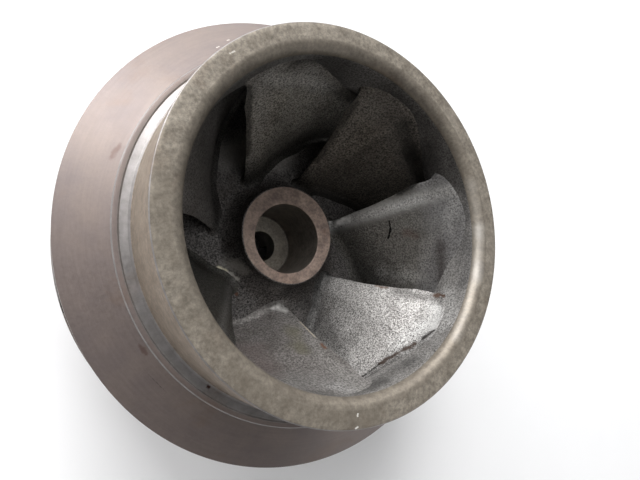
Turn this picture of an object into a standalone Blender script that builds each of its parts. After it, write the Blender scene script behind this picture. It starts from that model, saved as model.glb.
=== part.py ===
# Closed pump impeller, eye up, standing on the back end of its hub.
# The axis is Z, the floor is z = 0, and every value is in metres.
import math

import bmesh
import bpy
from mathutils import Matrix, Vector

# Driving dimensions, read from the photograph against the rim radius
OUTER_RADIUS = 0.0670          # outside of both shrouds and tips of the vanes
RIM_Z = 0.0590                 # upper edge of the front shroud at the rim
RIM_THICKNESS = 0.0034         # front shroud, measured along the axis at the rim
OUTLET_FLOOR_Z = 0.0400        # inner face of the back shroud
BACK_THICKNESS = 0.0038        # back shroud

RING_OUTER_RADIUS = 0.0508     # turned running fit of the eye ring
RING_FACE_Z = 0.0894           # front face of the eye ring
RING_BASE_Z = 0.0677           # where the turned ring meets the shroud
RING_CHAMFER = 0.0003          # broken edge outside the front face
THROAT_RADIUS = 0.0436         # inside of the eye
LIP_WIDTH = 0.0019             # rounded inner edge of the front face
LIP_DEPTH = 0.0015

NECK_RADIUS = 0.0513           # foot of the ring
RIDGE_RADIUS = 0.0540          # small turned step between face and neck
RIDGE_Z = 0.0670
FACE_INNER_RADIUS = 0.0551     # inner end of the conical front face
FACE_INNER_Z = 0.0662

NOSE_RADIUS = 0.0165           # hub, seen down the eye
NOSE_Z = 0.0484
NOSE_CHAMFER = 0.0004
HUB_FILLET = 0.0060            # sweep from the nose into the back shroud
HUB_SPLIT_RADIUS = 0.0228      # hub ends and back shroud begins here
BOSS_RADIUS = 0.0200           # hub behind the back shroud
BOSS_CHAMFER = 0.0008
BOSS_FILLET = 0.0025

COUNTERBORE_RADIUS = 0.0115    # room for the screw that holds the impeller
COUNTERBORE_FLOOR_Z = 0.0262
SCREW_HOLE_RADIUS = 0.0055
SHAFT_BORE_RADIUS = 0.0110
SHAFT_BORE_TOP_Z = 0.0188
KEYWAY_WIDTH = 0.0060
KEYWAY_DEPTH = 0.0028          # beyond the bore

VANE_COUNT = 7
VANE_FIRST_AZIMUTH = math.radians(18.6)
VANE_SCATTER = (0, -1.8, -2.4, -2.0, -1.5, 0, 0)  # degrees off even spacing, as cast
VANE_THICKNESS = 0.0030
VANE_HUB_RADIUS = 0.0219       # inner end of the leading edge
VANE_THROAT_Z = 0.0781         # outer end of the leading edge, on the throat
VANE_TIP_RADIUS = 0.0669
THROAT_LEAD = math.radians(1)  # the leading edge is ahead by this at the throat
HUB_WRAP = math.radians(80)
SHROUD_WRAP = math.radians(92)
HUB_SWEEP = (0.70, 4.35)       # even share of the wrap, and how early the rest comes
SHROUD_SWEEP = (0.60, 2.3)

GAP = 0.0003                   # clearance that keeps neighbouring solids apart
TURN_STEPS = 72
BORE_STEPS = 48
CURVE_STEPS = 12
FILLET_STEPS = 5
SPAN_STEPS = 5
VANE_STEPS = (0, 0.012, 0.035, 0.07, 0.11, 0.16, 0.22, 0.29, 0.37, 0.46, 0.56, 0.67, 0.78, 0.89, 1)
NOSE_SHARES = (0.45, 0.85)     # thickness of the rounded leading edge, as shares

CAST_COLOUR = (0.045, 0.042, 0.040)
TURNED_COLOUR = (0.19, 0.17, 0.15)


def clear_scene():
    for item in list(bpy.data.objects):
        bpy.data.objects.remove(item, do_unlink=True)


def iron(name, colour, roughness):
    material = bpy.data.materials.new(name)
    material.use_nodes = True
    shader = material.node_tree.nodes["Principled BSDF"]
    shader.inputs["Base Color"].default_value = (*colour, 1)
    shader.inputs["Metallic"].default_value = 0.8
    shader.inputs["Roughness"].default_value = roughness
    return material


def arc(centre, radius, start, end, steps):
    """Points of an arc in the (radius, height) half plane, angles in degrees."""
    points = []
    for step in range(steps + 1):
        angle = math.radians(start + (end - start) * step / steps)
        points.append((centre[0] + radius * math.cos(angle), centre[1] + radius * math.sin(angle)))
    return points


def bezier(corners, start, end, steps):
    """Points of a cubic curve between two of its parameters."""
    points = []
    for step in range(steps + 1):
        t = start + (end - start) * step / steps
        shares = ((1 - t) ** 3, 3 * t * (1 - t) ** 2, 3 * t * t * (1 - t), t ** 3)
        points.append(tuple(sum(s * c[axis] for s, c in zip(shares, corners)) for axis in (0, 1)))
    return points


# The roof of the passages: down the throat, then out to the rim
ROOF_CORNERS = (
    (THROAT_RADIUS, RIM_Z + 0.0181),
    (THROAT_RADIUS, RIM_Z + 0.0067),
    (0.0556, RIM_Z + 0.0030),
    (OUTER_RADIUS, RIM_Z - RIM_THICKNESS),
)


def roof_parameter_at(height):
    """Where the roof curve passes a height, found by halving."""
    low, high = 0.0, 1.0
    for _ in range(30):
        middle = (low + high) / 2
        if bezier(ROOF_CORNERS, middle, middle, 1)[0][1] > height:
            low = middle
        else:
            high = middle
    return low


def object_from(mesh, name, material):
    mesh.name = name
    mesh.materials.append(material)
    mesh.shade_smooth()
    mesh.set_sharp_from_angle(angle=math.radians(35))
    item = bpy.data.objects.new(name, mesh)
    bpy.context.collection.objects.link(item)
    return item


def turned(name, outline, material, steps=TURN_STEPS):
    """A solid of revolution from a closed outline of (radius, height) points."""
    mesh = bpy.data.meshes.new(name)
    shape = bmesh.new()
    corners = [shape.verts.new((radius, 0, height)) for radius, height in outline]
    edges = [shape.edges.new((corners[i - 1], corners[i])) for i in range(len(corners))]
    bmesh.ops.spin(shape, geom=corners + edges, cent=(0, 0, 0), axis=(0, 0, 1),
                   angle=2 * math.pi, steps=steps, use_merge=True)
    bmesh.ops.remove_doubles(shape, verts=shape.verts, dist=1e-6)
    bmesh.ops.recalc_face_normals(shape, faces=shape.faces)
    shape.to_mesh(mesh)
    shape.free()
    return object_from(mesh, name, material)


def hub_sweep():
    """The concave corner between nose and back shroud, top to bottom."""
    centre = (NOSE_RADIUS + HUB_FILLET, OUTLET_FLOOR_Z + HUB_FILLET)
    return arc(centre, HUB_FILLET, 180, 270, FILLET_STEPS)


def add_hub(material):
    back_z = OUTLET_FLOOR_Z - BACK_THICKNESS
    boss_corner = (BOSS_RADIUS + BOSS_FILLET, back_z - BOSS_FILLET)
    outline = [
        (COUNTERBORE_RADIUS, NOSE_Z),
        (NOSE_RADIUS - NOSE_CHAMFER, NOSE_Z),
        (NOSE_RADIUS, NOSE_Z - NOSE_CHAMFER),
        *hub_sweep(),
        (HUB_SPLIT_RADIUS, OUTLET_FLOOR_Z),
        (HUB_SPLIT_RADIUS, back_z),
        *arc(boss_corner, BOSS_FILLET, 90, 180, FILLET_STEPS),
        (BOSS_RADIUS, BOSS_CHAMFER),
        (BOSS_RADIUS - BOSS_CHAMFER, 0),
        (SHAFT_BORE_RADIUS, 0),
        (SHAFT_BORE_RADIUS, SHAFT_BORE_TOP_Z),
        (SCREW_HOLE_RADIUS, SHAFT_BORE_TOP_Z),
        (SCREW_HOLE_RADIUS, COUNTERBORE_FLOOR_Z),
        (COUNTERBORE_RADIUS, COUNTERBORE_FLOOR_Z),
    ]
    hub = turned("hub", outline, material, BORE_STEPS)
    cut_keyway(hub)


def cut_keyway(hub):
    """One key slot in the shaft bore, open at the back end of the hub."""
    reach = SHAFT_BORE_RADIUS + KEYWAY_DEPTH
    height = SHAFT_BORE_TOP_Z + GAP
    bpy.ops.mesh.primitive_cube_add(size=1, location=(reach / 2, 0, SHAFT_BORE_TOP_Z / 2 - GAP))
    cutter = bpy.context.object
    cutter.name = "keyway_cutter"
    cutter.data.transform(Matrix.Diagonal((reach, KEYWAY_WIDTH, height, 1)))
    cutter.hide_render = True
    cutter.display_type = "WIRE"
    cut = hub.modifiers.new("keyway", "BOOLEAN")
    cut.operation = "DIFFERENCE"
    cut.object = cutter


def add_back_shroud(material):
    inner = HUB_SPLIT_RADIUS + GAP
    bottom = OUTLET_FLOOR_Z - BACK_THICKNESS
    outline = [
        (inner, OUTLET_FLOOR_Z),
        (OUTER_RADIUS, OUTLET_FLOOR_Z),
        (OUTER_RADIUS, bottom),
        (inner, bottom),
    ]
    turned("back_shroud", outline, material)


def add_front_shroud(material):
    split = roof_parameter_at(RING_BASE_Z)
    outline = [
        *bezier(ROOF_CORNERS, split, 1, CURVE_STEPS),
        (OUTER_RADIUS, RIM_Z),
        (FACE_INNER_RADIUS, FACE_INNER_Z),
        (RIDGE_RADIUS + GAP, RIDGE_Z),
        (RIDGE_RADIUS - GAP, RIDGE_Z),
        (NECK_RADIUS, RING_BASE_Z),
    ]
    turned("front_shroud", outline, material)


def add_eye_ring(material):
    base_z = RING_BASE_Z + GAP
    split = roof_parameter_at(base_z)
    outline = [
        *bezier(ROOF_CORNERS, 0, split, FILLET_STEPS),
        (RING_OUTER_RADIUS, base_z),
        (RING_OUTER_RADIUS, RING_FACE_Z - RING_CHAMFER),
        (RING_OUTER_RADIUS - RING_CHAMFER, RING_FACE_Z),
        (THROAT_RADIUS + LIP_WIDTH, RING_FACE_Z),
        (THROAT_RADIUS + LIP_WIDTH * 0.3, RING_FACE_Z - LIP_DEPTH * 0.4),
        (THROAT_RADIUS, RING_FACE_Z - LIP_DEPTH),
    ]
    turned("eye_ring", outline, material)


def at_length(path, share):
    """The point at a share of a path's length."""
    lengths = [math.dist(path[i], path[i + 1]) for i in range(len(path) - 1)]
    left = share * sum(lengths)
    for start, end, length in zip(path, path[1:], lengths):
        if left <= length:
            return tuple(a + (b - a) * left / length for a, b in zip(start, end))
        left -= length
    return path[-1]


def vane_floor_path():
    """Foot of a vane, one gap off the hub and the back shroud."""
    centre_radius = NOSE_RADIUS + HUB_FILLET
    rise = HUB_FILLET - math.sqrt(HUB_FILLET ** 2 - (centre_radius - VANE_HUB_RADIUS) ** 2)
    start = (VANE_HUB_RADIUS, OUTLET_FLOOR_Z + rise + GAP)
    floor_z = OUTLET_FLOOR_Z + GAP
    return [start, (HUB_SPLIT_RADIUS, floor_z), (VANE_TIP_RADIUS, floor_z)]


def vane_roof_path():
    """Head of a vane, one gap off the throat and the front shroud."""
    head = [(THROAT_RADIUS, VANE_THROAT_Z), *bezier(ROOF_CORNERS, 0, 1, 3 * CURVE_STEPS)]
    return [(min(radius - GAP, VANE_TIP_RADIUS), height - GAP) for radius, height in head]


def sweep_angle(share, wrap, sweep):
    """How far a vane has turned back at a share of its length."""
    even, early = sweep
    return wrap * (even * share + (1 - even) * (1 - (1 - share) ** early))


def camber_point(share, span):
    """Middle of a vane's thickness, as radius, angle and height."""
    foot = at_length(vane_floor_path(), share)
    head = at_length(vane_roof_path(), share)
    foot_angle = -sweep_angle(share, HUB_WRAP, HUB_SWEEP)
    head_angle = THROAT_LEAD - sweep_angle(share, SHROUD_WRAP, SHROUD_SWEEP)
    radius = foot[0] + (head[0] - foot[0]) * span
    height = foot[1] + (head[1] - foot[1]) * span
    return radius, foot_angle + (head_angle - foot_angle) * span, height


def around(radius, angle, height):
    return Vector((radius * math.cos(angle), radius * math.sin(angle), height))


def half_angle(share, span, thickness):
    """Half the thickness, as an angle about the axis."""
    step = 0.01
    low, high = max(share - step, 0), min(share + step, 1)
    under, over = max(span - step, 0), min(span + step, 1)
    along = around(*camber_point(high, span)) - around(*camber_point(low, span))
    across = around(*camber_point(share, over)) - around(*camber_point(share, under))
    normal = along.cross(across).normalized()
    radius, angle, _ = camber_point(share, span)
    turning = Vector((-math.sin(angle), math.cos(angle), 0))
    return thickness / 2 / max(abs(normal.dot(turning)), 0.2) / radius


def vane_mesh():
    """One vane at azimuth zero: two faces joined by their four edges."""
    shape = bmesh.new()
    sides = {}
    for side in (1, -1):
        for i, share in enumerate(VANE_STEPS):
            thickness = VANE_THICKNESS * (NOSE_SHARES[i] if i < len(NOSE_SHARES) else 1)
            for j in range(SPAN_STEPS + 1):
                span = j / SPAN_STEPS
                radius, angle, height = camber_point(share, span)
                angle += side * half_angle(share, span, thickness)
                sides[side, i, j] = shape.verts.new(around(radius, angle, height))
    last, top = len(VANE_STEPS) - 1, SPAN_STEPS
    for i in range(last):
        for side in (1, -1):
            for j in range(top):
                shape.faces.new([sides[side, i + a, j + b] for a, b in ((0, 0), (1, 0), (1, 1), (0, 1))])
        for j in (0, top):
            shape.faces.new([sides[s, i + a, j] for s, a in ((1, 0), (1, 1), (-1, 1), (-1, 0))])
    for j in range(top):
        for i in (0, last):
            shape.faces.new([sides[s, i, j + b] for s, b in ((1, 0), (1, 1), (-1, 1), (-1, 0))])
    bmesh.ops.triangulate(shape, faces=shape.faces)
    bmesh.ops.recalc_face_normals(shape, faces=shape.faces)
    mesh = bpy.data.meshes.new("vane")
    shape.to_mesh(mesh)
    shape.free()
    return mesh


def add_vanes(material):
    mesh = vane_mesh()
    for number in range(VANE_COUNT):
        vane = object_from(mesh.copy(), "vane_%d" % (number + 1), material)
        even = VANE_FIRST_AZIMUTH + number * 2 * math.pi / VANE_COUNT
        vane.rotation_euler.z = even + math.radians(VANE_SCATTER[number])


clear_scene()
cast_iron = iron("cast_iron", CAST_COLOUR, 0.6)
turned_iron = iron("turned_iron", TURNED_COLOUR, 0.4)
add_hub(turned_iron)
add_back_shroud(turned_iron)
add_front_shroud(turned_iron)
add_eye_ring(turned_iron)
add_vanes(cast_iron)
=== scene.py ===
# Closed pump impeller: one grey iron casting, rough inside the eye and turned where it runs.
# Lengths are in millimetres, and only meshes and lights are turned into metres.
import math

import bmesh
import bpy
import numpy as np
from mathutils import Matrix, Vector, noise


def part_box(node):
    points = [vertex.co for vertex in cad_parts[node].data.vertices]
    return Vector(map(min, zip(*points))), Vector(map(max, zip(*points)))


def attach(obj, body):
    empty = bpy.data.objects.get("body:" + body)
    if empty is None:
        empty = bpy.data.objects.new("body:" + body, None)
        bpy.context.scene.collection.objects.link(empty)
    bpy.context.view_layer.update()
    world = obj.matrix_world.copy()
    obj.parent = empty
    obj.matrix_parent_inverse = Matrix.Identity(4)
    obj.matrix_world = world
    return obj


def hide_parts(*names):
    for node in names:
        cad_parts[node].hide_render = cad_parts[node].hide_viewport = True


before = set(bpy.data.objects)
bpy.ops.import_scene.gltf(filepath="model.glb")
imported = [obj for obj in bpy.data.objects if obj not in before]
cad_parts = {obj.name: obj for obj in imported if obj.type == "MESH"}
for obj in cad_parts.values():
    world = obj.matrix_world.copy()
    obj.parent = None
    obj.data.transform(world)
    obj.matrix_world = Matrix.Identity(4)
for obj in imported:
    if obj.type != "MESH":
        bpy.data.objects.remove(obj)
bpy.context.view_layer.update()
metre = 0.001  # one millimetre


def boxOf(node):
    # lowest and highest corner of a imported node, in millimetres
    low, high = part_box(node)
    return low / metre, high / metre


ringHigh = boxOf("eye_ring")[1]
shroudLow, shroudHigh = boxOf("front_shroud")
backLow, backHigh = boxOf("back_shroud")
hubHigh = boxOf("hub")[1]
rimRadius, ringRadius, ringTop = shroudHigh.x, ringHigh.x, ringHigh.z
print("frame loaded: rim radius %.1f mm, ring top %.1f mm" % (rimRadius, ringTop))


# Shapes shared by the pieces

def smoothNoise(point, size, seed=0.0):
    # soft noise from -1 to 1 whose bumps are about size millimetres across
    return noise.noise(Vector((point[0] / size + seed, point[1] / size - seed, point[2] / size)))


def roundOutline(corners, longest, mostSteps=4, stepsPerMm=8):
    # corners are (radius, height, rounding, finish): rounds them and cuts long runs into short ones
    flat = [Vector((corner[0], corner[1])) for corner in corners]
    points = []
    for i, corner in enumerate(corners):
        before, here, after = flat[i - 1], flat[i], flat[(i + 1) % len(flat)]
        rounding = corner[2]
        if rounding:
            goIn, goOut = (here - before).normalized(), (after - here).normalized()
            turn = goIn.angle(goOut)
            reach = rounding * math.tan(turn / 2)
            start, end = here - goIn * reach, here + goOut * reach
            steps = max(1, min(mostSteps, round(turn * rounding * stepsPerMm)))  # no slivers on small rounds
            for k in range(steps + 1):
                t = k / steps
                bend = (start * (1 - t) ** 2 + here * 2 * t * (1 - t) + end * t * t)
                points.append((bend.x, bend.y, corner[3]))
        else:
            points.append((here.x, here.y, corner[3]))
    cut = []
    for i, (radius, height, finish) in enumerate(points):
        nextPoint = points[(i + 1) % len(points)]
        run = math.dist((radius, height), nextPoint[:2])
        pieces = max(1, math.ceil(run / longest))
        for k in range(pieces):
            t = k / pieces
            cut.append((radius + (nextPoint[0] - radius) * t, height + (nextPoint[1] - height) * t, finish))
    return cut


def curvePoints(ends, start, stop, steps):
    # points of a cubic curve through four handles, as (radius, height)
    found = []
    for t in np.linspace(start, stop, steps + 1):
        shares = ((1 - t) ** 3, 3 * t * (1 - t) ** 2, 3 * t * t * (1 - t), t ** 3)
        found.append(tuple(sum(s * e[axis] for s, e in zip(shares, ends)) for axis in (0, 1)))
    return found


crispAngle = math.radians(50)  # edges that turn by more than this stay crisp


def meshPiece(name, points, faces, finishes, materials):
    # one smooth shaded object in the scene, placed by its vertices
    mesh = bpy.data.meshes.new(name)
    mesh.from_pydata([tuple(c * metre for c in point) for point in points], [], faces)
    for material in materials:
        mesh.materials.append(material)
    mesh.polygons.foreach_set("material_index", finishes)
    shape = bmesh.new()
    shape.from_mesh(mesh)
    bmesh.ops.recalc_face_normals(shape, faces=shape.faces)
    if all(edge.is_manifold for edge in shape.edges) and shape.calc_volume(signed=True) < 0:
        bmesh.ops.reverse_faces(shape, faces=shape.faces)  # inside out
    shape.to_mesh(mesh)
    shape.free()
    mesh.shade_smooth()
    mesh.set_sharp_from_angle(angle=crispAngle)
    piece = bpy.data.objects.new(name, mesh)
    bpy.context.collection.objects.link(piece)
    evenShading(piece)
    return piece


def evenShading(piece):
    # keeps flats flat beside small rounds
    even = piece.modifiers.new("evenShading", "WEIGHTED_NORMAL")
    even.mode = "FACE_AREA"
    even.keep_sharp = True


def turnPiece(name, outline, columns, shift, materials):
    # revolves an outline of (radius, height, finish), with shift moving each point a little
    rows = len(outline)
    points, faces, finishes = [], [], []
    for radius, height, finish in outline:
        for column in range(columns):
            angle = 2 * math.pi * column / columns
            points.append(shift(radius, height, angle, finish))
    for row in range(rows):
        nextRow = (row + 1) % rows
        for column in range(columns):
            nextColumn = (column + 1) % columns
            faces.append((row * columns + column, row * columns + nextColumn,
                          nextRow * columns + nextColumn, nextRow * columns + column))
            finishes.append(outline[row][2])
    return meshPiece(name, points, faces, finishes, materials)


# Materials

def hexColour(text):
    # sRGB hex to the linear colour that shaders use
    channels = [int(text[i:i + 2], 16) / 255 for i in (1, 3, 5)]
    linear = [c / 12.92 if c <= 0.04045 else ((c + 0.055) / 1.055) ** 2.4 for c in channels]
    return (*linear, 1.0)


def addNode(tree, kind, settings, links=None, out=0):
    # settings are the node's own properties or socket values, links are sockets fed by other nodes,
    # and out is the socket that comes back
    node = tree.nodes.new("ShaderNode" + kind)
    for key, value in settings.items():
        if isinstance(key, str) and hasattr(node, key):
            setattr(node, key, value)
        else:
            node.inputs[key].default_value = value
    for key, source in (links or {}).items():
        tree.links.new(source, node.inputs[key])
    return node.outputs[out]


def startMaterial(name):
    material = bpy.data.materials.new(name)
    material.use_nodes = True
    tree = material.node_tree
    shader = tree.nodes["Principled BSDF"]
    place = addNode(tree, "TexCoord", {}, out="Object")
    # everything after this node is in millimetres
    inMm = addNode(tree, "VectorMath", {"operation": "SCALE", "Scale": 1 / metre}, {0: place})
    return material, tree, shader, inMm


def fromAxis(tree, inMm):
    # the place seen along the shaft's axis, and its distance from that axis
    flat = addNode(tree, "VectorMath", {"operation": "MULTIPLY", 1: (1, 1, 0)}, {0: inMm})
    return flat, addNode(tree, "VectorMath", {"operation": "LENGTH"}, {0: flat}, out="Value")


def lathePlace(tree, inMm, aroundRepeats, pitch):
    # coordinates that stretch a pattern around the axis, as a lathe tool does
    flat, radius = fromAxis(tree, inMm)
    heading = addNode(tree, "VectorMath", {"operation": "NORMALIZE"}, {0: flat})
    wide = addNode(tree, "VectorMath", {"operation": "SCALE", "Scale": aroundRepeats}, {0: heading})
    height = addNode(tree, "SeparateXYZ", {}, {0: inMm}, out="Z")
    across = addNode(tree, "Math", {"operation": "SUBTRACT"}, {0: radius, 1: height})
    scaled = addNode(tree, "Math", {"operation": "DIVIDE", 1: pitch}, {0: across})
    lift = addNode(tree, "CombineXYZ", {}, {"Z": scaled})
    return addNode(tree, "VectorMath", {"operation": "ADD"}, {0: wide, 1: lift})


def mark(start, end, widthMm, colour, share=1, core=0.3, ragged=1.2, grained=False):
    # a line or a spot from one point to another: share is the strength of its colour, core the part of its
    # width that is full, ragged how far its edge frays, in widths, and a grained one shows on the grain only
    return {"start": Vector(start), "run": Vector(end) - Vector(start), "widthMm": widthMm, "colour": colour,
            "share": share, "core": core, "ragged": ragged, "grained": grained}


frayWaves = 1.2  # waves of a mark's frayed edge in one width of the mark


def addMarks(tree, inMm, colour, marks, grain=None):
    # lays marks over a colour, by each place's distance to the mark's line
    for spot in marks:
        run, width = spot["run"], spot["widthMm"]
        away = addNode(tree, "VectorMath", {"operation": "SUBTRACT", 1: spot["start"]}, {0: inMm})
        along = addNode(tree, "VectorMath", {"operation": "DOT_PRODUCT", 1: run / run.length_squared},
                        {0: away}, out="Value")
        near = addNode(tree, "Clamp", {}, {"Value": along})
        foot = addNode(tree, "VectorMath", {"operation": "SCALE", 0: run}, {"Scale": near})
        distance = addNode(tree, "VectorMath", {"operation": "DISTANCE"}, {0: away, 1: foot}, out="Value")
        waves = addNode(tree, "TexNoise", {"Scale": frayWaves / width, "Detail": 3}, {"Vector": inMm})
        fray = width * spot["ragged"]
        edge = addNode(tree, "Math", {"operation": "MULTIPLY_ADD", 1: fray, 2: -fray / 2}, {0: waves})
        spread = addNode(tree, "Math", {"operation": "ADD"}, {0: distance, 1: edge})
        share = addNode(tree, "MapRange", {"From Min": width / 2, "From Max": width * spot["core"] / 2,
                                           "To Max": spot["share"]}, {"Value": spread})
        if spot["grained"]:
            share = addNode(tree, "Math", {"operation": "MULTIPLY"}, {0: share, 1: grain})
        colour = addNode(tree, "Mix", {"data_type": "RGBA", 7: hexColour(spot["colour"])},
                         {"Factor": share, 6: colour}, out=2)
    return colour


# a noise turns from one colour or value to another between these
evenSpan = {"From Min": 0.3, "From Max": 0.7}
freckleSpan = {"From Min": 0.36, "From Max": 0.64}
grainSpan = {"From Min": 0.4, "From Max": 0.62}
stainSpan = {"From Min": 0.5, "From Max": 0.68}
shineSpan = {"From Min": 0.35, "From Max": 0.65}
brokenSpan = {"From Min": 0.35, "From Max": 0.5}


def finishMaterial(tree, shader, look, shine, height):
    # relief, shine and metal, the same way for both irons
    bump = addNode(tree, "Bump", {"Distance": look["depthMm"] * metre, "Strength": look["bump"]},
                   {"Height": height})
    tree.links.new(bump, shader.inputs["Normal"])
    tree.links.new(shine, shader.inputs["Roughness"])
    shader.inputs["Metallic"].default_value = look["metallic"]


def turnedIron(name, look):
    # grey iron turned on a lathe, then dulled by a thin brown oxide:
    # a soft satin grey-tan with faint rings, darker freckles and warm rust bloom
    material, tree, shader, inMm = startMaterial(name)
    patches = addNode(tree, "TexNoise", {"Scale": 1 / look["patchMm"], "Detail": 5, "Roughness": 0.6},
                      {"Vector": inMm})
    fine = addNode(tree, "TexNoise", {"Scale": 1 / look["freckleMm"], "Detail": 4, "Roughness": 0.75},
                   {"Vector": inMm})
    rings = addNode(tree, "TexNoise", {"Scale": 1, "Detail": 3, "Roughness": 0.6},
                    {"Vector": lathePlace(tree, inMm, look["ringRepeats"], look["ringMm"])})
    rustBloom = addNode(tree, "TexNoise", {"Scale": 1 / look["rustMm"], "Detail": 6, "Roughness": 0.65,
                                           "Distortion": 0.6}, {"Vector": inMm})
    tone = addNode(tree, "MapRange", evenSpan, {"Value": patches})
    ground = addNode(tree, "Mix", {"data_type": "RGBA", 6: hexColour(look["dark"]),
                                   7: hexColour(look["light"])}, {"Factor": tone}, out=2)
    rustShare = addNode(tree, "MapRange", {"From Min": look["rustFrom"], "From Max": look["rustFull"],
                                           "To Max": look["rustShare"]}, {"Value": rustBloom})
    rusted = addNode(tree, "Mix", {"data_type": "RGBA", 7: hexColour(look["rust"])},
                     {"Factor": rustShare, 6: ground}, out=2)
    # dark freckles are twice as strong as light ones
    freckle = addNode(tree, "MapRange", {**freckleSpan, "To Min": 1 - look["freckle"],
                                         "To Max": 1 + look["freckle"] / 2}, {"Value": fine})
    ringTone = addNode(tree, "MapRange", {**evenSpan, "To Min": 1 - look["ringTone"],
                                          "To Max": 1 + look["ringTone"]}, {"Value": rings})
    shade = addNode(tree, "Math", {"operation": "MULTIPLY"}, {0: freckle, 1: ringTone})
    colour = addNode(tree, "VectorMath", {"operation": "SCALE"}, {0: rusted, "Scale": shade})
    tree.links.new(addMarks(tree, inMm, colour, look["marks"]), shader.inputs["Base Color"])
    smooth, dull = look["roughness"]
    shine = addNode(tree, "MapRange", {**evenSpan, "To Min": smooth, "To Max": dull}, {"Value": fine})
    height = addNode(tree, "Math", {"operation": "MULTIPLY_ADD", 1: look["grooveShare"]},
                     {0: rings, 2: fine})
    finishMaterial(tree, shader, look, shine, height)
    return material


def wornMetal(tree, look, colour, tone, patches):
    # each vane carries its distances in millimetres to the wall of the eye, to its leading edge and to the hub:
    # the wall's colour runs up the fillet, the stream keeps the edge bare, painted shade darkens it towards the
    # hub, and a dark crease by the wall is part grime and part painted shade
    toWall, toEdge, toHub = [addNode(tree, "Attribute", {"attribute_name": name}, out="Fac")
                             for name in ("wallMm", "edgeMm", "hubMm")]
    fray = addNode(tree, "Math", {"operation": "MULTIPLY_ADD", 1: look["wearFray"], 2: -look["wearFray"] / 2},
                   {0: tone})
    for distance, width, share, low, high in ((toWall, "wallWidth", "wallWear", "wallDark", "wallLight"),
                                              (toEdge, "edgeWidth", "edgeWear", "bareDark", "bare")):
        frayed = addNode(tree, "Math", {"operation": "ADD"}, {0: distance, 1: fray})
        wear = addNode(tree, "MapRange", {"interpolation_type": "SMOOTHSTEP", "From Min": look[width],
                                          "From Max": look[width] * look["wearCore"], "To Max": look[share]},
                       {"Value": frayed})
        broken = addNode(tree, "MapRange", {**brokenSpan, "To Min": look["brokenShare"]},
                         {"Value": patches})
        wear = addNode(tree, "Math", {"operation": "MULTIPLY"}, {0: wear, 1: broken})
        bare = addNode(tree, "Mix", {"data_type": "RGBA", 6: hexColour(look[low]), 7: hexColour(look[high])},
                       {"Factor": tone}, out=2)
        colour = addNode(tree, "Mix", {"data_type": "RGBA"}, {"Factor": wear, 6: colour, 7: bare}, out=2)
    # painted shade: darker towards the hub
    paintedHubShade = addNode(tree, "MapRange", {"From Min": look["hubShadeFrom"], "From Max": look["hubShadeWidth"],
                                      "To Min": look["hubShadeLevel"]}, {"Value": toHub})
    # the crease: darker along the wall, part grime and part painted shade
    creaseWidth = look["creaseWidth"]
    ragged = addNode(tree, "Math", {"operation": "MULTIPLY_ADD", 1: creaseWidth, 2: -creaseWidth / 2},
                     {0: tone})
    fromWall = addNode(tree, "Math", {"operation": "ADD"}, {0: toWall, 1: ragged})
    crease = addNode(tree, "MapRange", {"From Min": creaseWidth / 2, "From Max": creaseWidth,
                                        "To Min": look["creaseShade"]}, {"Value": fromWall})
    shade = addNode(tree, "Math", {"operation": "MULTIPLY"}, {0: paintedHubShade, 1: crease})
    return addNode(tree, "VectorMath", {"operation": "SCALE"}, {0: colour, "Scale": shade})


def darkPassage(tree, look, inMm, colour, tone):
    # out in the passages all seven fade to the same dark iron towards the rim, where each vane's own lightened
    # or darkened colours, partly painted light and shade, end
    radius = fromAxis(tree, inMm)[1]
    fade = addNode(tree, "MapRange", {"interpolation_type": "SMOOTHSTEP", "From Min": look["passageFrom"],
                                      "From Max": look["passageFull"]}, {"Value": radius})
    iron = addNode(tree, "Mix", {"data_type": "RGBA", 6: hexColour(look["passageDark"]),
                                 7: hexColour(look["passageLight"])}, {"Factor": tone}, out=2)
    return addNode(tree, "Mix", {"data_type": "RGBA"}, {"Factor": fade, 6: colour, 7: iron}, out=2)


def castIron(name, look):
    # grey iron as it left the sand, stained near black by water:
    # the sand's grain catches the light, over olive and brown stains
    material, tree, shader, inMm = startMaterial(name)
    grain = addNode(tree, "TexNoise", {"Scale": 1 / look["grainMm"], "Detail": 5, "Roughness": 0.7},
                    {"Vector": inMm})
    pits = addNode(tree, "TexVoronoi", {"Scale": 1 / look["pitMm"], "feature": "SMOOTH_F1", "Smoothness": 0.4},
                   {"Vector": inMm})
    patches = addNode(tree, "TexNoise", {"Scale": 1 / look["patchMm"], "Detail": 4, "Roughness": 0.6},
                      {"Vector": inMm})
    tone = addNode(tree, "MapRange", grainSpan, {"Value": grain})
    ground = addNode(tree, "Mix", {"data_type": "RGBA", 6: hexColour(look["dark"]),
                                   7: hexColour(look["light"])}, {"Factor": tone}, out=2)
    stain = addNode(tree, "MapRange", {**stainSpan, "To Max": look["stainShare"]}, {"Value": patches})
    colour = addNode(tree, "Mix", {"data_type": "RGBA", 7: hexColour(look["stain"])},
                     {"Factor": stain, 6: ground}, out=2)
    if "edgeWear" in look:
        colour = wornMetal(tree, look, colour, tone, patches)
        colour = darkPassage(tree, look, inMm, colour, tone)
    tree.links.new(addMarks(tree, inMm, colour, look["marks"], tone), shader.inputs["Base Color"])
    smooth, dull = look["roughness"]
    shine = addNode(tree, "MapRange", {**shineSpan, "To Min": dull, "To Max": smooth}, {"Value": grain})
    lumps = addNode(tree, "TexNoise", {"Scale": 1 / look["lumpMm"], "Detail": 2}, {"Vector": inMm})
    sand = addNode(tree, "Math", {"operation": "MULTIPLY_ADD", 1: look["pitShare"]}, {0: pits, 2: grain})
    relief = addNode(tree, "Math", {"operation": "MULTIPLY_ADD", 1: look["lumpShare"]}, {0: lumps, 2: sand})
    finishMaterial(tree, shader, look, shine, relief)
    return material
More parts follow.
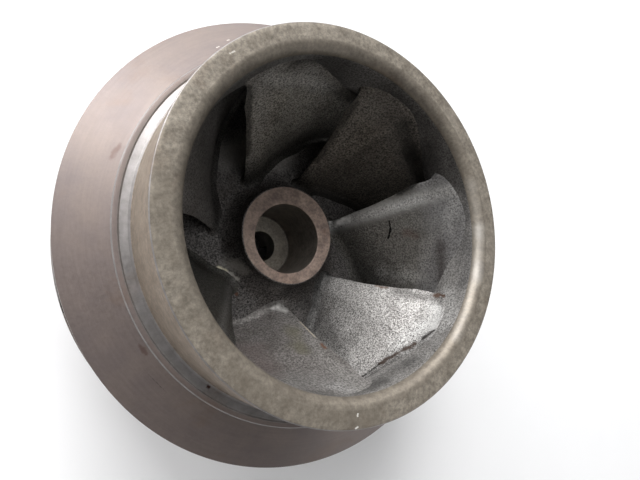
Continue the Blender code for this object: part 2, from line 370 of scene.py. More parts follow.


# marks of use, rust, grime and stain, and of painted light, shade and glints, with their places on the part in
# millimetres
faceMarks = [     # painted shade on one side and painted light on the other, with three nicks
    mark((-48, 4, 89.4), (-30, -37.5, 89.4), 20, "#6e665b", share=0.55, core=0),
    mark((-30, -37.5, 89.4), (-2, -47.6, 89.4), 20, "#6e665b", share=0.55, core=0),
    mark((34, 34, 89.4), (47.5, -8, 89.4), 18, "#b4aba0", share=0.2, core=0),
    mark((-35.2, 33.8, 89.4), (-34.2, 34.6, 89.4), 0.5, "#d9d5cd", share=0.7),
    mark((-1.7, -47.6, 89.4), (-1.6, -47.1, 89.4), 0.6, "#e6e3dc"),
    mark((-2.2, -50.2, 89.4), (-1.7, -50, 89.4), 0.6, "#e6e3dc"),
]
lipHighlightMarks = [      # a painted highlight along the right of the lip
    mark((42, 14.5, 88.7), (44.4, -1, 88.7), 6, "#f2f1f0", share=0.08, core=0, ragged=0.5),
    mark((44.4, 1, 88.7), (42.5, -13, 88.7), 6, "#f2f1f0", share=0.13, core=0, ragged=0.5),
    mark((42.8, -10, 88.7), (33, -30, 88.7), 6, "#f2f1f0", share=0.08, core=0, ragged=0.5),
]
shroudMarks = [   # two nicks, two rust spots and a scratch
    mark((-30.7, 49.8, 64.1), (-30, 50.4, 64.1), 0.5, "#d8d2cc", share=0.6),
    mark((-27.4, 53.5, 63.1), (-26.8, 54, 63.1), 0.5, "#d8d2cc", share=0.6),
    mark((-55.9, 13.4, 64.9), (-54.1, 16.2, 65.2), 1.8, "#4f3226", share=0.5, core=0.2),
    mark((-46.8, -31.4, 65.5), (-45.4, -33.2, 65.5), 1.5, "#4f3226", share=0.5, core=0.2),
    mark((-46, -36.4, 64.3), (-40.1, -42.6, 64.3), 0.35, "#4a4340", share=0.6, core=0.5),
]
neckMarks = [     # a rust spot
    mark((-30.9, -41.5, 67.2), (-30.6, -41.7, 67.2), 1.2, "#3b241d"),
]
floorMarks = [    # painted shade, painted light and painted glints beside the hub, and a rust spot
    mark((11.6, -19.9, 40), (14, -24, 40), 9, "#161514", share=0.5, core=0),
    mark((-18.1, -8, 40.7), (-13.2, -10.6, 43.2), 6, "#bab5ae", share=0.5, core=0),
    mark((-21, 30, 40), (2, 32, 40), 14, "#b5b1ab", share=0.45, core=0),
    mark((-20.5, -9.8, 40), (-17.5, -10.9, 40.4), 1.6, "#e0d9c0", share=0.8, core=0.1),
    mark((-16.9, -11.2, 40.4), (-14, -13.4, 40.9), 1.6, "#c9c6be", share=0.7),
    mark((-14.4, -17.2, 40), (-14.1, -18.4, 40), 1.5, "#5c3a2a", share=0.8),
]
wallMarks = [     # scratches, darker bands, a painted highlight and painted shade around the throat
    mark((36, -24.6, 83.3), (34.9, -26.2, 83), 0.5, "#2b2a2a", share=0.8, core=0.5),
    mark((27, -34.3, 86), (26.2, -35.2, 87.4), 0.6, "#2b2a2a", share=0.8, core=0.5),
    mark((42.8, 8, 84.5), (41, -14.5, 84.5), 9, "#37373a", share=0.45, core=0.2),
    # a painted highlight on the wall by the top of vane 7
    mark((39.3, -18.9, 80), (34.6, -26.6, 83.5), 9, "#e6e4e2", share=0.9, core=0, grained=True),
    mark((22.9, -37.1, 80.3), (9.6, -42.5, 80.2), 11, "#2f2e2d", share=0.6, core=0),
    mark((9.6, -42.5, 83), (-12, -42, 84.5), 9, "#2f2e2d", share=0.55, core=0),
    # painted shade darkening the top of the throat beside vanes 2 and 3
    mark((38, 19, 80), (22, 37.6, 80), 24, "#2a2826", share=0.55),
    mark((22, 37.6, 80), (-6, 43.2, 80), 24, "#2a2826", share=0.4),
    mark((-6, 43.2, 80), (-32, 29.6, 82), 24, "#2a2826", share=0.5),
]
creaseShadeAndSheenMarks = [   # vane 7: painted sheen near its top, painted shade along its leading edge and low in the passage, a dark crease by the wall that is part grime and part painted shade, and rust on its leading edge
    mark((36, -23.4, 78), (25.1, -34.4, 72.7), 9, "#fbfaf8", share=0.8, core=0, grained=True),
    mark((36, -23.4, 78), (32.7, -28.4, 80), 9, "#fbfaf8", share=0.5, core=0),
    mark((32.2, -17.4, 65), (38, -20.1, 77), 6, "#3c3936", share=0.65, core=0, ragged=0.5),
    mark((15.6, -27.4, 44.2), (16, -34.8, 54.8), 13, "#33302e", share=0.5, core=0),
    mark((13.5, -43.6, 67), (20.5, -38.8, 70.3), 1.1, "#2d2a28"),
    mark((20.5, -38.8, 70.3), (27.7, -33.1, 76.9), 2, "#46372f", share=0.9),
    mark((29.5, -31.6, 78.5), (32.5, -29, 80.8), 1.6, "#3a3635"),
    mark((38.3, -18.6, 75.4), (39.2, -18.9, 78.4), 2.2, "#4a3528", share=0.9),
    mark((28.6, -15, 57.6), (30.6, -16, 61.2), 1.2, "#6d5140", share=0.7, core=0.2),
]
stainShadeAndGlintMarks = [    # vane 6: painted shade at its foot, a darker band at the top, pink and olive stains, a lighter grained patch by the wall, a painted glint on its nose, a bright edge line, rust
    mark((-14.1, -27.3, 40.4), (-3, -22.3, 40.3), 4, "#3a3734", share=0.5, core=0.2),
    mark((-12, -42, 83.5), (-5, -42.9, 82.5), 6, "#3a3734", share=0.4, core=0),
    mark((-15.3, -34.5, 55.8), (-14.4, -39.6, 70.7), 14, "#7a6c69", share=0.5, core=0.1),
    mark((-0.4, -30.2, 53.6), (-1.1, -34.7, 61.4), 8, "#77745c", share=0.5, core=0.1),
    mark((-1, -42.4, 78.5), (0.7, -43.2, 82), 8, "#e8e6e6", share=0.6, core=0, grained=True),
    mark((0.2, -22.5, 41.2), (2.2, -23.4, 42.6), 3.6, "#f2f0ec", share=0.8, core=0),
    mark((4.5, -27.1, 49), (5.6, -31.5, 56.8), 0.6, "#e8dcc8", share=0.8, core=0.5),
    mark((6, -33.3, 60.2), (5.9, -34.4, 62.1), 1.4, "#7a5138", share=0.8),
]
crackAndShadeMarks = [    # vane 1: rubbed grain, a short crack, painted shade along an edge, a red bloom and a brown-tinted painted shade of a hollow by the wall
    mark((36.7, -9.9, 52.8), (41.7, -11.9, 65.3), 9, "#e9e6e2", share=0.6, core=0, grained=True),
    mark((41.7, -11.9, 65.3), (41.1, -0.4, 71.3), 7, "#e9e6e2", share=0.5, core=0, grained=True),
    mark((42.2, 3, 79), (41.7, 11.7, 81.9), 7, "#fffdfa", share=0.5, core=0, grained=True),
    mark((22.8, 8.4, 43.7), (24.3, 9.5, 46.7), 3.5, "#fffdfa", share=0.9, core=0.2),
    mark((33.2, 7, 60.2), (33.9, 4.3, 59.8), 0.8, "#0c0b0b", share=0.9, core=0.5),
    mark((33.9, 4.3, 59.8), (34.5, 1.7, 57.9), 1.1, "#0c0b0b", core=0.5),
    mark((33.4, 16.3, 64.9), (35.8, 18.4, 70.6), 3.2, "#1b1a19", share=0.8, core=0.4, ragged=0.5),
    mark((36.6, 3, 63.6), (38.7, 1.5, 66.2), 4, "#6b4c44", share=0.35, core=0.1),
    mark((42.4, -2.5, 74.5), (42, -13, 74.8), 6.5, "#3d322e", share=0.6, core=0.1, ragged=0.5),
]
hollowShadeMarks = [   # vane 2 and the wall beside it: painted shade along its leading edge and where the throat turns into the passage
    mark((10, 39.9, 73.5), (9, 27, 51.5), 4.4, "#131211", share=0.6, core=0.4, ragged=0.3),
    mark((21.5, 36.2, 76.4), (28.5, 31, 73), 7, "#1b1a19", share=0.4, core=0, ragged=0.5),
    mark((26.4, 34.6, 77.5), (34.5, 27.4, 72), 8, "#1b1a19", share=0.7, core=0.2, ragged=0.4),
    mark((35.5, 26, 71.5), (42, 20.6, 69.5), 15, "#1b1a19", share=0.75, core=0.4, ragged=0.4),
    mark((34.2, 27, 79), (38.2, 21, 77), 11, "#1b1a19", share=0.5, core=0.2, ragged=0.4),
]
glintAndShadeMarks = [    # vane 3: painted glints along the wall, painted shade along its leading edge and a painted shade band at the top
    mark((-21.2, 37.2, 78.6), (-0.4, 43.1, 71.1), 10, "#f4f1ec", share=0.9, core=0, grained=True),
    mark((-25.1, 33.6, 75), (-16.9, 25.2, 52), 4.6, "#131211", share=0.75, core=0.5, ragged=0.3),
    mark((-14, 41, 84), (2, 43, 83), 9, "#2a2826", share=0.7),
]

# A lathe tool is fed about 0.25 mm a turn, too fine to show here, so the rings are drawn 0.9 mm apart.
turnedLook = {
    "light": "#9c9488", "dark": "#787065", "patchMm": 3,
    "rust": "#735c4a", "rustMm": 22, "rustFrom": 0.56, "rustFull": 0.72, "rustShare": 0.35,
    "freckleMm": 0.9, "freckle": 0.36, "ringRepeats": 5, "ringMm": 0.9, "ringTone": 0.03, "marks": [],
    "grooveShare": 0.6, "depthMm": 0.04, "bump": 0.4, "roughness": (0.44, 0.6), "metallic": 0.45,
}
faceLook = dict(turnedLook, marks=faceMarks)
sideLook = dict(turnedLook, light="#978a7c", dark="#7d7164")
shroudLook = dict(turnedLook, light="#7e726c", dark="#726866", patchMm=14, freckle=0.08, ringTone=0.05,
                  roughness=(0.39, 0.55), marks=shroudMarks)
lipLook = dict(turnedLook, light="#8e867a", dark="#766e64", freckle=0.25, roughness=(0.4, 0.56), marks=lipHighlightMarks)
neckLook = dict(turnedLook, light="#938f8e", dark="#7d7977", freckle=0.08, bump=0, roughness=(0.32, 0.48),
                metallic=0.6, marks=neckMarks)
hubFaceLook = dict(turnedLook, light="#aa9689", dark="#786861", patchMm=4, rust="#85624c",
                   roughness=(0.49, 0.65), metallic=0.3)
boreLook = dict(turnedLook, light="#878078", dark="#66605b", roughness=(0.36, 0.52), metallic=0.6)
shoulderLook = dict(turnedLook, light="#bbb3a7", dark="#989186", metallic=0.4)
# Moulding sand is 0.2 to 0.3 mm across, too fine to show here, so its grain is drawn at 0.55 mm.
castLook = {
    "dark": "#1d1c1b", "light": "#7d7974", "grainMm": 0.55, "marks": [],
    "stain": "#3a322c", "stainShare": 0.4, "patchMm": 9,
    "pitMm": 0.9, "pitShare": 0.6, "lumpMm": 3.0, "lumpShare": 2.5, "depthMm": 0.14, "bump": 0.5,
    "roughness": (0.34, 0.54), "metallic": 0.6,
}
floorLook = dict(castLook, dark="#282726", light="#767270", marks=floorMarks)
wallLook = dict(castLook, dark="#716f6d", light="#bdbab7", stainShare=0.25, bump=0.35,
                marks=wallMarks + hollowShadeMarks)
vaneLook = dict(castLook, edgeWidth=5.0, edgeWear=0.3, bareDark="#5b5856", bare="#c9c6c2",
                wallWidth=7, wallWear=0.9, wallDark=wallLook["dark"], wallLight=wallLook["light"],
                wearFray=2.4, wearCore=0.2, brokenShare=0.75,   # how the edge of a worn band breaks up
                # towards the hub every vane is darkened with painted shade, and by the wall a crease darkens
                # it, part grime and part painted shade
                hubShadeFrom=0.6, hubShadeWidth=4.5, hubShadeLevel=0.15, creaseWidth=1.0, creaseShade=1,
                passageFrom=47.5, passageFull=55, passageDark="#33312f", passageLight="#5a5753")
# one entry a vane: how bare and worn each one is, its marks and its painted shade by the hub; each vane's dark
# and light colours are also made lighter or darker, as painted light and shade, for the light it gets
vaneLooks = [
    {"dark": "#54514e", "light": "#a19e98", "metallic": 0.8, "edgeWear": 1, "edgeWidth": 3.5,
     "bareDark": "#959391", "bare": "#fffdfa", "wallDark": "#757373", "wallLight": "#c9c7c7",
     "hubShadeWidth": 18, "hubShadeLevel": 0.42, "marks": crackAndShadeMarks},
    {"dark": "#2b2925", "light": "#797269", "edgeWear": 0.05, "wallWear": 0.15, "marks": hollowShadeMarks},
    {"dark": "#514e4a", "light": "#c4beb3", "wallWear": 0.45, "wallWidth": 5, "hubShadeWidth": 12,
     "marks": glintAndShadeMarks},
    {"dark": "#423f3e", "light": "#908c88", "wallWear": 0.15, "hubShadeWidth": 3, "hubShadeLevel": 0.5},
    {"dark": "#2d2c2a", "light": "#5d5b56", "edgeWidth": 2.0, "wallWear": 0.1, "hubShadeLevel": 1},
    {"dark": "#5d5956", "light": "#a8a3a0", "bare": "#d3d1cc", "wallWear": 0.6, "hubShadeWidth": 2.5,
     "hubShadeLevel": 0.6, "marks": stainShadeAndGlintMarks},
    {"dark": "#4d4a48", "light": "#d5d2cf", "grainMm": 0.42, "roughness": (0.42, 0.62), "bareDark": "#7d7b79",
     "bare": "#d9d7d3", "wallWear": 0.1, "wallWidth": 3, "creaseWidth": 0.8, "creaseShade": 0.7,
     "marks": creaseShadeAndSheenMarks},
]

turnedFace = turnedIron("turnedIronFace", faceLook)
turnedSide = turnedIron("turnedIronSide", sideLook)
turnedLip = turnedIron("turnedIronLip", lipLook)
turnedShroud = turnedIron("turnedIronShroud", shroudLook)
turnedNeck = turnedIron("turnedIronNeck", neckLook)
hubFace = turnedIron("turnedIronHub", hubFaceLook)
boredIron = turnedIron("boredIron", boreLook)
shoulderIron = turnedIron("facedIron", shoulderLook)
castDark = castIron("castIronDark", floorLook)
castWall = castIron("castIronWall", wallLook)
castVanes = [castIron("castIronVane%d" % number, dict(vaneLook, **change))
             for number, change in enumerate(vaneLooks, 1)]
print("materials made")


# Front shroud and eye ring, one turned casting

frontShape = {
    "columns": 288, "longest": 1.2,
    "rimEdge": 0.25,                            # broken edges of the rim
    "rimBottom": shroudLow.z, "rimTop": 59.0,
    "faceInner": (55.1, 66.2),
    "bead": ((54.8, 66.72), (53.7, 66.9), (53.35, 66.62)), "beadRound": 0.2,    # small turned bead in the face
    "neck": (51.5, 67.3), "neckRise": 0.8, "neckRounds": (0.3, 0.6),
    "ringChamfer": 0.25,
    "lip": ((2.8, 0), (1.3, 0), (0, 1.3), (0, 2.8)), "lipSteps": 10,   # rounded inner edge, out and down
    "throat": 43.6,
    "roofHandles": ((43.6, 77.1), (43.6, 65.7), (55.6, 62.0)), "roofSteps": 30,
    "wallTo": 73.0,                             # the pale wall of the throat ends at this height
    "castDepth": 0.22, "castSize": 9.0, "castSeed": 3.1,
    "rimFade": 2.0, "throatFrom": 3.0, "throatFade": 8.0,      # cast unevenness fades out over these
}
turnedSlot, sideSlot, lipSlot, shroudSlot, neckSlot, wallSlot, roofSlot = range(7)


def frontOutline(shape):
    roof = curvePoints((*shape["roofHandles"], (rimRadius, shape["rimBottom"])), 0, 1, shape["roofSteps"])
    handles = [(shape["throat"] + out, ringTop - down) for out, down in shape["lip"]]
    lip = [(radius, height, 0, lipSlot) for radius, height in curvePoints(handles, 0, 1, shape["lipSteps"])]
    lip[-1] = (*lip[-1][:3], wallSlot)
    chamfer = shape["ringChamfer"]
    corners = [
        (rimRadius, shape["rimTop"], shape["rimEdge"], shroudSlot),
        (*shape["faceInner"], shape["beadRound"], neckSlot),
        *[(*point, shape["beadRound"], finish)
          for point, finish in zip(shape["bead"], (shroudSlot, neckSlot, neckSlot))],
        (*shape["neck"], shape["neckRounds"][0], neckSlot),
        (ringRadius, shape["neck"][1] + shape["neckRise"], shape["neckRounds"][1], sideSlot),
        (ringRadius, ringTop - chamfer, 0, neckSlot),
        (ringRadius - chamfer, ringTop, 0, turnedSlot),
        *lip,
    ]
    corners += [(r, z, 0, wallSlot if z > shape["wallTo"] else roofSlot) for r, z in roof[:-1]]
    corners.append((rimRadius, shape["rimBottom"], shape["rimEdge"], shroudSlot))
    return roundOutline(corners, shape["longest"])


def frontShift(radius, height, angle, finish):
    # cast surfaces wander a little, turned ones stay true
    shape = frontShape
    x, y = radius * math.cos(angle), radius * math.sin(angle)
    if finish in (wallSlot, roofSlot):
        fromRim = max(0, (rimRadius - radius) / shape["rimFade"])
        fromTop = max(0, (ringTop - shape["throatFrom"] - height) / shape["throatFade"])
        wander = smoothNoise((x, y, height), shape["castSize"], shape["castSeed"])
        height += min(1, fromRim, fromTop) * shape["castDepth"] * wander
    return x, y, height


def makeFront():
    materials = [turnedFace, turnedSide, turnedLip, turnedShroud, turnedNeck, castWall, castDark]
    outline = frontOutline(frontShape)
    piece = turnPiece("frontShroudAndRing", outline, frontShape["columns"], frontShift, materials)
    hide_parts("front_shroud", "eye_ring")
    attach(piece, "root")


# Hub and back shroud, also one casting

hubShape = {
    "columns": 240, "longest": 1.6,
    "noseRadius": 16.5, "noseTop": hubHigh.z, "noseEdge": 0.5, "fillet": 6.0, "filletSteps": 8,
    "floor": backHigh.z, "back": backLow.z, "rimEdge": 0.25,
    "bossRadius": 20.0, "bossFillet": 2.5, "bossEdge": 0.8,
    "counterbore": 11.5, "counterboreFloor": 26.2, "screwHole": 5.5, "boreEdge": 0.3,
    "shaftBore": 11.0, "shaftBoreTop": 18.8, "keyWidth": 6.0, "keyReach": 13.8,
    "stopRound": 0.2, "seatRounds": (0.3, 0.4),  # corners at the shaft's end and at the screw's seat
    "noseShift": (0.36, 1.2),                   # the cast nose is off the bored hole by this
    "noseInset": 0.5, "noseWander": 0.35, "noseSize": 0.7, "noseSeed": 4.4,
    "castDepth": 0.22, "castSize": 8.0, "castSeed": 7.7, "rimFade": 2.0,
    "justAbove": 0.01,                          # points no higher than this above the floor are the floor's
}
hubFaceSlot, boreSlot, shoulderSlot, floorSlot, backSlot = range(5)


def hubOutline(shape):
    cornerRadius = shape["noseRadius"] + shape["fillet"]
    sweep = []
    for k in range(shape["filletSteps"] + 1):
        angle = math.radians(180 + 90 * k / shape["filletSteps"])
        sweep.append((cornerRadius + shape["fillet"] * math.cos(angle),
                      shape["floor"] + shape["fillet"] * (1 + math.sin(angle)), 0, floorSlot))
    corners = [
        (shape["counterbore"], shape["noseTop"], shape["boreEdge"], hubFaceSlot),
        (shape["noseRadius"], shape["noseTop"], shape["noseEdge"], floorSlot),
        *sweep,
        (rimRadius, shape["floor"], shape["rimEdge"], backSlot),
        (rimRadius, shape["back"], shape["rimEdge"], backSlot),
        (shape["bossRadius"], shape["back"], shape["bossFillet"], backSlot),
        (shape["bossRadius"], 0, shape["bossEdge"], backSlot),
        (shape["shaftBore"], 0, shape["boreEdge"], boreSlot),
        (shape["shaftBore"], shape["shaftBoreTop"], shape["stopRound"], boreSlot),
        (shape["screwHole"], shape["shaftBoreTop"], shape["stopRound"], boreSlot),
        (shape["screwHole"], shape["counterboreFloor"], shape["seatRounds"][0], shoulderSlot),
        (shape["counterbore"], shape["counterboreFloor"], shape["seatRounds"][1], boreSlot),
    ]
    return roundOutline(corners, shape["longest"])


def hubShift(radius, height, angle, finish):
    shape = hubShape
    x, y = radius * math.cos(angle), radius * math.sin(angle)
    inner = shape["counterbore"] + shape["noseInset"]
    if height > shape["floor"] + shape["justAbove"] and radius > inner:
        # above the floor, the nose as cast: off centre and a little out of round
        share = min(1, (height - shape["floor"]) / shape["fillet"]) ** 2
        share *= min(1, (radius - inner) / (shape["noseRadius"] - inner - shape["noseInset"]))
        around = (math.cos(angle), math.sin(angle), 0)
        wander = share * shape["noseWander"] * smoothNoise(around, shape["noseSize"], shape["noseSeed"])
        x += share * shape["noseShift"][0] + wander * math.cos(angle)
        y += share * shape["noseShift"][1] + wander * math.sin(angle)
    if finish == floorSlot and radius > shape["noseRadius"] + shape["fillet"]:
        fade = min(1, max(0, (rimRadius - radius) / shape["rimFade"]))
        height += fade * shape["castDepth"] * smoothNoise((x, y, height), shape["castSize"], shape["castSeed"])
    return x, y, height


def cutKeyway(piece, shape, materials):
    # key slot in the shaft bore, open at the back end
    half, reach, top = shape["keyWidth"] / 2, shape["keyReach"], shape["shaftBoreTop"]
    clear = 1.0  # the cutter starts inside the bore, and this far below the hub
    points = [(x, y, z) for x in (clear, reach) for y in (-half, half) for z in (-clear, top)]
    sides = [(0, 1, 3, 2), (4, 6, 7, 5), (0, 4, 5, 1), (2, 3, 7, 6), (0, 2, 6, 4), (1, 5, 7, 3)]
    cutter = meshPiece("keyCutter", points, sides, [boreSlot] * 6, materials)
    piece.modifiers.clear()
    cut = piece.modifiers.new("keyway", "BOOLEAN")
    cut.operation, cut.object = "DIFFERENCE", cutter
    cutMesh = bpy.data.meshes.new_from_object(piece.evaluated_get(bpy.context.evaluated_depsgraph_get()))
    piece.modifiers.clear()
    piece.data = cutMesh
    bpy.data.objects.remove(cutter, do_unlink=True)
    evenShading(piece)


def makeHub():
    materials = [hubFace, boredIron, shoulderIron, castDark, turnedShroud]
    piece = turnPiece("hubAndBackShroud", hubOutline(hubShape), hubShape["columns"], hubShift, materials)
    cutKeyway(piece, hubShape, materials)
    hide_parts("hub", "back_shroud")
    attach(piece, "root")


# Vanes

vaneShape = {
    "firstAzimuth": 18.6, "scatter": (0, -1.8, -2.4, -2.0, -1.5, 0, 0),   # off even spacing, in degrees
    "thickness": 3.0, "hubStart": 21.9, "throatStart": 78.1, "throatTop": ringTop - 3,
    "tip": rimRadius - 0.05,           # just inside the rim
    "throatLead": 1.0, "hubWrap": 80.0, "shroudWrap": 92.0,
    "hubSweep": (0.70, 4.35), "shroudSweep": (0.60, 2.3),
    "nose": (0.024, 0.03),             # rounded edge as a share of the length, at the hub and the shroud
    "hubFillet": (2.5, 2.0),           # root radii on the face towards the eye and behind it
    "wallFillets": (5.0, 3.0, 4.0, 3.0, 3.0, 4.5, 1.2), "wallFilletBehind": 1.6,
    "edgeFillet": 3.5, "edgeFilletRun": 9.0,   # wall fillet's growth at the leading edge, over this run
    "ragged": 0.2, "raggedSize": 4.0, "raggedSeed": 3.7,       # how uneven the fillets are, as cast
    "sunk": 0.45,                      # how far the ends run into the shrouds
    "roofSunk": 0.7,                   # share of it in radius and in height, where the roof slopes
    "waviness": ((9.0, 0.22), (3.2, 0.09)), "waveSeed": 11.3,  # size and depth of the waves in the faces
    "along": 46, "across": 36, "noseSteps": 7, "footSteps": 8, "headSteps": 40,
    "crowding": 1.3,                   # points crowd towards the leading edge
}


def measuredPath(points, startIndex):
    # a path as lengths from its start point, radii and heights; what lies before the start is negative
    steps = [0.0] + [math.dist(a, b) for a, b in zip(points, points[1:])]
    lengths = np.cumsum(steps)
    lengths -= lengths[startIndex]
    return lengths, np.array([p[0] for p in points]), np.array([p[1] for p in points])


def vaneFoot():
    # down the hub's sweep and along the floor of the passage
    radius, sunk = hubShape["noseRadius"] + hubShape["fillet"], vaneShape["sunk"]
    fillet, floor = hubShape["fillet"] + sunk, hubShape["floor"] - sunk
    startAngle, steps = math.acos((vaneShape["hubStart"] - radius) / fillet), vaneShape["footSteps"]
    before = [(radius + fillet * math.cos(a), floor + fillet * (1 - math.sin(a)))
              for a in np.linspace(math.pi, startAngle, steps + 1)]
    flatFrom = radius + 0.4  # past the end of the sweep
    return measuredPath(before + [(flatFrom, floor), (vaneShape["tip"], floor)], steps)


def vaneHead():
    # down the throat and along the roof of the passage
    throat, slant = frontShape["throat"] + vaneShape["sunk"], vaneShape["sunk"] * vaneShape["roofSunk"]
    handles = (*frontShape["roofHandles"], (rimRadius, frontShape["rimBottom"]))
    down = [(throat, vaneShape["throatTop"]), (throat, vaneShape["throatStart"])]
    down += [(min(r + slant, vaneShape["tip"]), z + slant)
             for r, z in curvePoints(handles, 0, 1, vaneShape["headSteps"])[1:]]
    return measuredPath(down, 1)


def pathAt(path, share):
    lengths, radii, heights = path
    here = share * lengths[-1]
    return float(np.interp(here, lengths, radii)), float(np.interp(here, lengths, heights))


def pathDistance(path, point):
    # shortest distance from a (radius, height) point to a path
    starts = np.stack(path[1:], axis=1)[:-1]
    runs = np.stack(path[1:], axis=1)[1:] - starts
    away = np.array(point) - starts
    t = np.clip((away * runs).sum(1) / np.maximum((runs ** 2).sum(1), 1e-9), 0, 1)
    return float(np.sqrt(((away - runs * t[:, None]) ** 2).sum(1)).min())


def sweepAngle(share, wrap, sweep):
    # how far a vane has turned around the axis at this share of its length
    return math.radians(wrap) * (sweep[0] * share + (1 - sweep[0]) * (1 - (1 - share) ** sweep[1]))


def camberPoint(foot, head, share, span):
    # the middle of a vane's thickness, as radius, angle and height
    low, high = pathAt(foot, share), pathAt(head, share)
    turned = min(max(share, 0), 1)
    lowAngle = -sweepAngle(turned, vaneShape["hubWrap"], vaneShape["hubSweep"])
    highAngle = math.radians(vaneShape["throatLead"])
    highAngle -= sweepAngle(turned, vaneShape["shroudWrap"], vaneShape["shroudSweep"])
    return (low[0] + (high[0] - low[0]) * span, lowAngle + (highAngle - lowAngle) * span,
            low[1] + (high[1] - low[1]) * span)


def onAxis(radius, angle, height):
    return Vector((radius * math.cos(angle), radius * math.sin(angle), height))


def turnShare(foot, head, share, span, step=0.01, least=0.2):
    # how squarely the vane's face stands across the direction of turning
    before, after = max(share - step, 0), min(share + step, 1)
    under, over = max(span - step, 0), min(span + step, 1)
    along = onAxis(*camberPoint(foot, head, after, span)) - onAxis(*camberPoint(foot, head, before, span))
    across = onAxis(*camberPoint(foot, head, share, over)) - onAxis(*camberPoint(foot, head, share, under))
    angle = camberPoint(foot, head, share, span)[1]
    turning = Vector((-math.sin(angle), math.cos(angle), 0))
    return max(abs(along.cross(across).normalized().dot(turning)), least)


def filletGrowth(distance, radius):
    # how much a root fillet of this radius thickens the vane at a distance from the wall
    if distance >= radius:
        return 0.0
    return radius - math.sqrt(radius ** 2 - (radius - max(distance, 0.0)) ** 2)


def vaneRows(foot, head):
    # closed outlines of a vane from hub to shroud, each point as (share, angle, span, face share)
    rows = []
    noseAtHub, noseAtShroud = vaneShape["nose"]
    steps, later = vaneShape["noseSteps"], vaneShape["along"] - vaneShape["noseSteps"]
    for j in range(vaneShape["across"] + 1):
        span = 0.5 - 0.5 * math.cos(math.pi * j / vaneShape["across"])
        nose = noseAtHub + (noseAtShroud - noseAtHub) * span
        shares = [nose * (1 - math.cos(math.pi / 2 * k / steps)) for k in range(steps)]
        shares += [nose + (1 - nose) * (k / later) ** vaneShape["crowding"] for k in range(later + 1)]
        row = []
        for side in (1, -1):
            for share in (shares[::-1] if side == 1 else shares[1:]):
                face = math.sqrt(1 - (1 - min(1.0, share / nose)) ** 2)
                radius, angle, height = camberPoint(foot, head, share, span)
                half = vaneShape["thickness"] / 2 * face / turnShare(foot, head, share, span)
                row.append((share, angle + side * half / radius, span, side * face))
        rows.append(row)
    return rows


def edgeDistances(row):
    # lengths along an outline from the leading edge, which is its middle point
    places = [onAxis(*point[:3]) for point in row]
    lengths = np.cumsum([0.0] + [(b - a).length for a, b in zip(places, places[1:])])
    return np.abs(lengths - lengths[(len(row) - 1) // 2])


def filletedRows(rows, foot, head, wallFillet, seed):
    # widens each outline near the walls, along the outline's own normal; returns (radius, angle, height, face)
    # with the distances to the wall of the eye, to the hub and to the leading edge
    shape = vaneShape
    hubFront, hubBehind = shape["hubFillet"]
    wallBehind = shape["wallFilletBehind"]
    widened = []
    for row in rows:
        span = row[0][2]
        length = foot[0][-1] * (1 - span) + head[0][-1] * span
        newRow = []
        for i, (share, angle, span, face) in enumerate(row):
            radius, _, height = camberPoint(foot, head, share, span)
            front = wallFillet + shape["edgeFillet"] * max(0, 1 - share * length / shape["edgeFilletRun"])
            atWall = (front + wallBehind + (wallBehind - front) * face) / 2
            atHub = (hubFront + hubBehind + (hubBehind - hubFront) * face) / 2
            uneven = 1 + shape["ragged"] * smoothNoise((share * length, face * 2, seed), shape["raggedSize"])
            toHub = pathDistance(foot, (radius, height)) - shape["sunk"]
            toWall = pathDistance(head, (radius, height)) - shape["sunk"]
            growth = filletGrowth(toHub, atHub * uneven) + filletGrowth(toWall, atWall * uneven)
            before, after = row[i - 1], row[(i + 1) % len(row)]
            run = (after[0] - before[0]) * length
            rise = (after[1] - before[1]) * radius
            size = math.hypot(run, rise) or 1.0
            newShare = share + growth * rise / size / length
            newAngle = angle - growth * run / size / radius
            radius, _, height = camberPoint(foot, head, newShare, span)
            newRow.append((radius, newAngle, height, face, toWall, toHub))
        widened.append([(*point, toEdge) for point, toEdge in zip(newRow, edgeDistances(newRow))])
    return widened


def makeVane(number, rows):
    spacing = 360 / len(vaneShape["scatter"])
    azimuth = math.radians(vaneShape["firstAzimuth"] + spacing * number + vaneShape["scatter"][number])
    seed = vaneShape["waveSeed"] * (number + 1)
    points, faces = [], []
    for row in rows:
        for radius, angle, height, face, *_ in row:
            place = onAxis(radius, angle + azimuth, height)
            wave = sum(depth * smoothNoise(place, size, seed + face) for size, depth in vaneShape["waviness"])
            points.append(onAxis(radius, angle + azimuth + face * wave / radius, height))
    count = len(rows[0])
    half = (count - 1) // 2
    for j in range(len(rows) - 1):
        for i in range(count):
            k = (i + 1) % count
            faces.append((j * count + i, j * count + k, (j + 1) * count + k, (j + 1) * count + i))
    for base in (0, (len(rows) - 1) * count):
        faces += [(base + i, base + i + 1, base + count - 2 - i, base + count - 1 - i) for i in range(half - 1)]
        faces.append((base + half - 1, base + half, base + half + 1))
    piece = meshPiece("vane%d" % (number + 1), points, faces, [0] * len(faces), [castVanes[number]])
    for column, name in ((4, "wallMm"), (5, "hubMm"), (6, "edgeMm")):
        stored = piece.data.attributes.new(name, "FLOAT", "POINT")
        stored.data.foreach_set("value", [point[column] for row in rows for point in row])
    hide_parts("vane_%d" % (number + 1))
    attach(piece, "root")


makeFront()
print("front shroud and ring made")
makeHub()
print("hub and back shroud made")
footPath, headPath = vaneFoot(), vaneHead()
vaneOutlines = vaneRows(footPath, headPath)
for number, wallFillet in enumerate(vaneShape["wallFillets"]):
    seed = vaneShape["raggedSeed"] * number
    makeVane(number, filletedRows(vaneOutlines, footPath, headPath, wallFillet, seed))
print("vanes made")


# Floor, light and camera

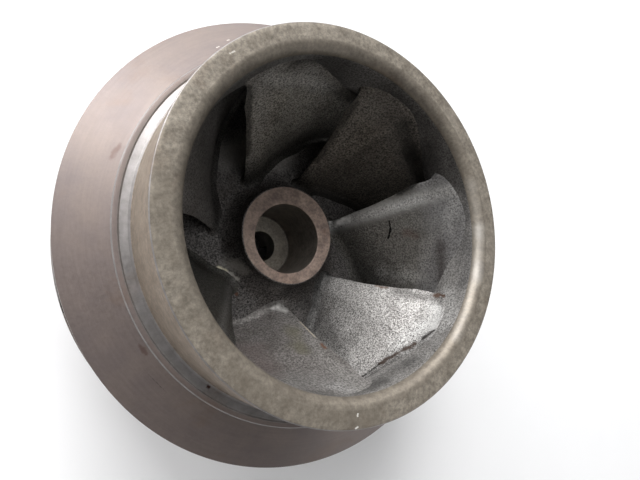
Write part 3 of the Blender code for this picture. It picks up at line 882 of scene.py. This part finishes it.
floorSheet = {"size": 6000, "drop": 0.2, "colour": "#f7f7f8", "shade": 0.98, "fibreMm": 30, "roughness": 0.8}
lampLook = {
    "size": 1.0, "away": 2.0, "aim": (0, 0, 0.05), "colour": "#ffffff",    # metres
    "lamps": {      # azimuth and height in degrees, power in watts
        "lowSoftbox": (135, 12, 34),
        "sideSoftbox": (90, 12, 6.4),
        "highSoftbox": (112, 38, 40),
        "leftGlow": (157, 38, 10),
        "rightGlow": (67, 38, 6.8),
        "backGlow": (315, 12, 4),
        "lowerGlow": (337, 38, 3.2),
        "topGlow": (0, 90, 2.8),
    },
    "worldColour": "#ffffff", "worldStrength": 0.14,
}
cameraView = {"lens": 25.54, "sensor": 36, "clipStart": 0.005, "eye": (-65.93, -22.18, 180.74),
              "turn": (8.349, -30.596, 0)}


def makeFloor():
    # matt white card, rolled smooth: an even pale ground without a sheen
    half, down = floorSheet["size"] / 2, -floorSheet["drop"]
    corners = [(-half, -half, down), (half, -half, down), (half, half, down), (-half, half, down)]
    material, tree, shader, inMm = startMaterial("mattCard")
    fibre = addNode(tree, "TexNoise", {"Scale": 1 / floorSheet["fibreMm"], "Detail": 3}, {"Vector": inMm})
    white = hexColour(floorSheet["colour"])
    shade = (*[c * floorSheet["shade"] for c in white[:3]], 1)
    colour = addNode(tree, "Mix", {"data_type": "RGBA", 6: white, 7: shade}, {"Factor": fibre}, out=2)
    tree.links.new(colour, shader.inputs["Base Color"])
    shader.inputs["Roughness"].default_value = floorSheet["roughness"]
    meshPiece("floor", corners, [(0, 1, 2, 3)], [0], [material])


def makeLamps():
    for name, (azimuth, height, power) in lampLook["lamps"].items():
        light = bpy.data.lights.new(name, "AREA")
        light.size = lampLook["size"]
        light.energy = power
        light.color = hexColour(lampLook["colour"])[:3]
        lamp = bpy.data.objects.new(name, light)
        bpy.context.collection.objects.link(lamp)
        azimuth, height = math.radians(azimuth), math.radians(height)
        heading = onAxis(math.cos(height), azimuth, math.sin(height))
        lamp.location = heading * lampLook["away"] + Vector(lampLook["aim"])
        lamp.rotation_euler = (-heading).to_track_quat("-Z", "Y").to_euler()
    world = bpy.data.worlds.new("studio")
    world.use_nodes = True
    back = world.node_tree.nodes["Background"]
    back.inputs["Color"].default_value = hexColour(lampLook["worldColour"])
    back.inputs["Strength"].default_value = lampLook["worldStrength"]
    bpy.context.scene.world = world


def makeCamera():
    lens = bpy.data.cameras.new("photoView")
    lens.lens = cameraView["lens"]
    lens.sensor_width = cameraView["sensor"]
    lens.clip_start = cameraView["clipStart"]
    camera = bpy.data.objects.new("photoView", lens)
    bpy.context.collection.objects.link(camera)
    camera.location = Vector(cameraView["eye"]) * metre
    camera.rotation_euler = [math.radians(a) for a in cameraView["turn"]]
    bpy.context.scene.camera = camera


makeFloor()
makeLamps()
makeCamera()
bpy.context.scene.view_settings.view_transform = "Standard"
print("floor, lamps and camera placed")
